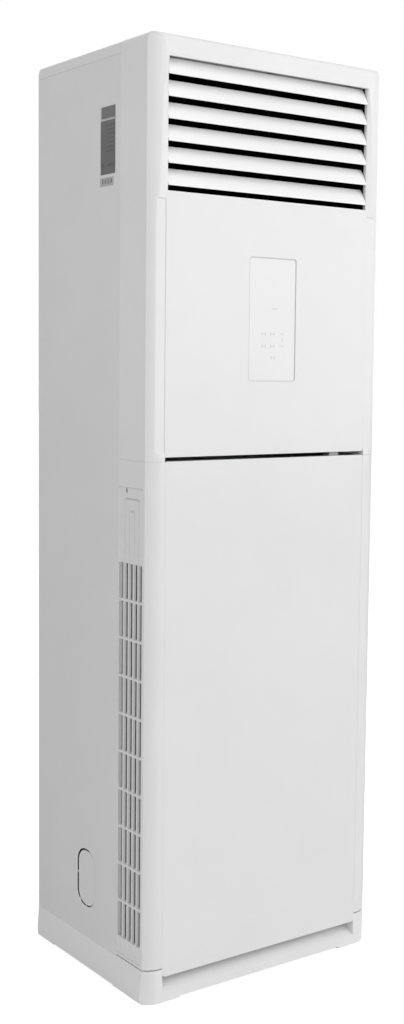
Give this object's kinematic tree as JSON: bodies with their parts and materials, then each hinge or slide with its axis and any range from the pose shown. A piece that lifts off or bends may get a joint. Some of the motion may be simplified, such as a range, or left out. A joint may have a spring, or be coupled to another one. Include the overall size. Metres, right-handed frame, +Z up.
{
  "type": "floor standing air conditioner",
  "caption": "Tall free-standing indoor air conditioner cabinet with a louvred outlet, a display panel, a hanging service panel and side return grilles.",
  "frame": {"origin": "on the floor, under the middle of the base", "axes": "+X to the right seen from the front, +Y to the back, +Z up"},
  "size_m": [0.566, 0.425, 1.824],
  "materials": {
    "gloss_white": "glossy moulded panels, close to white",
    "satin_white": "satin moulded plastic, off-white",
    "painted_steel": "smooth satin paint on steel sheet, light grey",
    "galvanised": "bare zinc-coated sheet with a faint spangle",
    "black_plastic": "matt black",
    "window_acrylic": "clear-coated, very smooth",
    "board_green": "solder-masked board",
    "filter_mesh": "fine woven mesh in a ribbed frame",
    "fin_aluminium": "fine upright fins",
    "copper": "drawn copper tube, slightly dull",
    "label_grey": "printed plate, nothing written on it",
    "motor_grey": "painted motor shell",
    "foam_white": "expanded foam liner, matt"
  },
  "bodies": {
    "cabinet": {"base_plinth": "satin_white", "left_side_panel": "painted_steel", "right_side_panel": "painted_steel", "back_panel": "painted_steel", "cable_grommet": "black_plastic", "top_cover": "satin_white", "lower_front_frame": "gloss_white", "upper_front_frame": "gloss_white", "panel_latch": "satin_white", "upper_front_panel": "gloss_white", "display_window": "window_acrylic", "display_board": "board_green", "left_air_filter": "filter_mesh", "right_air_filter": "filter_mesh", "blade_support": "black_plastic", "outlet_duct": "black_plastic", "swing_motor": "motor_grey", "fan_deck": "galvanised", "drain_pan": "foam_white", "evaporator_coil": "fin_aluminium", "coil_left_end_plate": "galvanised", "coil_right_end_plate": "galvanised", "gas_pipe": "copper", "liquid_pipe": "copper", "fan_housing": "galvanised", "fan_inlet_ring": "galvanised", "motor_bracket": "galvanised", "fan_motor": "motor_grey", "control_box": "galvanised", "control_box_cover": "galvanised", "control_board": "board_green", "terminal_block": "black_plastic", "rating_label": "label_grey"},
    "lower_panel": {"lower_front_panel": "gloss_white"},
    "left_grille": {"left_intake_grille": "satin_white"},
    "right_grille": {"right_intake_grille": "satin_white"},
    "fan": {"fan_wheel": "galvanised", "fan_shaft": "motor_grey"},
    "blade_1": {"blade_1": "gloss_white"},
    "blade_2": {"blade_2": "gloss_white"},
    "blade_3": {"blade_3": "gloss_white"},
    "blade_4": {"blade_4": "gloss_white"},
    "blade_5": {"blade_5": "gloss_white"},
    "blade_6": {"blade_6": "gloss_white"},
    "blade_link": {"blade_link": "black_plastic"},
    "vane_1": {"vane_1": "black_plastic"},
    "vane_2": {"vane_2": "black_plastic"},
    "vane_3": {"vane_3": "black_plastic"},
    "vane_4": {"vane_4": "black_plastic"},
    "vane_5": {"vane_5": "black_plastic"},
    "vane_6": {"vane_6": "black_plastic"},
    "vane_7": {"vane_7": "black_plastic"},
    "vane_8": {"vane_8": "black_plastic"},
    "vane_link": {"vane_link": "black_plastic"}
  },
  "joints": [
    {"name": "lower_panel_swing", "type": "hinge", "parent": "cabinet", "child": "lower_panel", "pos_m": [0, -0.1975, 1.036], "axis": [-1, 0, 0], "range_deg": [0, 25]},
    {"name": "left_grille_swing", "type": "hinge", "parent": "cabinet", "child": "left_grille", "pos_m": [-0.2748, -0.1495, 0.08], "axis": [0, -1, 0], "range_deg": [0, 20]},
    {"name": "right_grille_swing", "type": "hinge", "parent": "cabinet", "child": "right_grille", "pos_m": [0.2748, -0.1495, 0.08], "axis": [0, 1, 0], "range_deg": [0, 20]},
    {"name": "fan_spin", "type": "hinge", "parent": "cabinet", "child": "fan", "pos_m": [0, 0, 0.52], "axis": [0, 1, 0], "continuous": true},
    {"name": "blade_1_tilt", "type": "hinge", "parent": "cabinet", "child": "blade_1", "pos_m": [0, -0.1885, 1.776], "axis": [-1, 0, 0], "range_deg": [-15, 35]},
    {"name": "blade_2_tilt", "type": "hinge", "parent": "cabinet", "child": "blade_2", "pos_m": [0, -0.1885, 1.736], "axis": [-1, 0, 0], "range_deg": [-15, 35]},
    {"name": "blade_3_tilt", "type": "hinge", "parent": "cabinet", "child": "blade_3", "pos_m": [0, -0.1885, 1.696], "axis": [-1, 0, 0], "range_deg": [-15, 35]},
    {"name": "blade_4_tilt", "type": "hinge", "parent": "cabinet", "child": "blade_4", "pos_m": [0, -0.1885, 1.656], "axis": [-1, 0, 0], "range_deg": [-15, 35]},
    {"name": "blade_5_tilt", "type": "hinge", "parent": "cabinet", "child": "blade_5", "pos_m": [0, -0.1885, 1.616], "axis": [-1, 0, 0], "range_deg": [-15, 35]},
    {"name": "blade_6_tilt", "type": "hinge", "parent": "cabinet", "child": "blade_6", "pos_m": [0, -0.1885, 1.576], "axis": [-1, 0, 0], "range_deg": [-15, 35]},
    {"name": "blade_link_pin", "type": "hinge", "parent": "blade_1", "child": "blade_link", "pos_m": [0.2065, -0.1725, 1.77], "axis": [-1, 0, 0], "range_deg": [-35, 15]},
    {"name": "vane_1_swing", "type": "hinge", "parent": "cabinet", "child": "vane_1", "pos_m": [-0.21, -0.1462, 1.663], "axis": [0, 0, 1], "range_deg": [-35, 35]},
    {"name": "vane_2_swing", "type": "hinge", "parent": "cabinet", "child": "vane_2", "pos_m": [-0.15, -0.1462, 1.663], "axis": [0, 0, 1], "range_deg": [-35, 35]},
    {"name": "vane_3_swing", "type": "hinge", "parent": "cabinet", "child": "vane_3", "pos_m": [-0.09, -0.1462, 1.663], "axis": [0, 0, 1], "range_deg": [-35, 35]},
    {"name": "vane_4_swing", "type": "hinge", "parent": "cabinet", "child": "vane_4", "pos_m": [-0.03, -0.1462, 1.663], "axis": [0, 0, 1], "range_deg": [-35, 35]},
    {"name": "vane_5_swing", "type": "hinge", "parent": "cabinet", "child": "vane_5", "pos_m": [0.03, -0.1462, 1.663], "axis": [0, 0, 1], "range_deg": [-35, 35]},
    {"name": "vane_6_swing", "type": "hinge", "parent": "cabinet", "child": "vane_6", "pos_m": [0.09, -0.1462, 1.663], "axis": [0, 0, 1], "range_deg": [-35, 35]},
    {"name": "vane_7_swing", "type": "hinge", "parent": "cabinet", "child": "vane_7", "pos_m": [0.15, -0.1462, 1.663], "axis": [0, 0, 1], "range_deg": [-35, 35]},
    {"name": "vane_8_swing", "type": "hinge", "parent": "cabinet", "child": "vane_8", "pos_m": [0.21, -0.1462, 1.663], "axis": [0, 0, 1], "range_deg": [-35, 35]},
    {"name": "vane_link_pin", "type": "hinge", "parent": "vane_1", "child": "vane_link", "pos_m": [-0.21, -0.1202, 1.549], "axis": [0, 0, 1], "range_deg": [-35, 35]}
  ],
  "couplings": [
    {"joint": "blade_2_tilt", "follows": "blade_1_tilt", "ratio": 1},
    {"joint": "blade_3_tilt", "follows": "blade_1_tilt", "ratio": 1},
    {"joint": "blade_4_tilt", "follows": "blade_1_tilt", "ratio": 1},
    {"joint": "blade_5_tilt", "follows": "blade_1_tilt", "ratio": 1},
    {"joint": "blade_6_tilt", "follows": "blade_1_tilt", "ratio": 1},
    {"joint": "blade_link_pin", "follows": "blade_1_tilt", "ratio": -1},
    {"joint": "vane_2_swing", "follows": "vane_1_swing", "ratio": 1},
    {"joint": "vane_3_swing", "follows": "vane_1_swing", "ratio": 1},
    {"joint": "vane_4_swing", "follows": "vane_1_swing", "ratio": 1},
    {"joint": "vane_5_swing", "follows": "vane_1_swing", "ratio": 1},
    {"joint": "vane_6_swing", "follows": "vane_1_swing", "ratio": 1},
    {"joint": "vane_7_swing", "follows": "vane_1_swing", "ratio": 1},
    {"joint": "vane_8_swing", "follows": "vane_1_swing", "ratio": 1},
    {"joint": "vane_link_pin", "follows": "vane_1_swing", "ratio": -1}
  ]
}
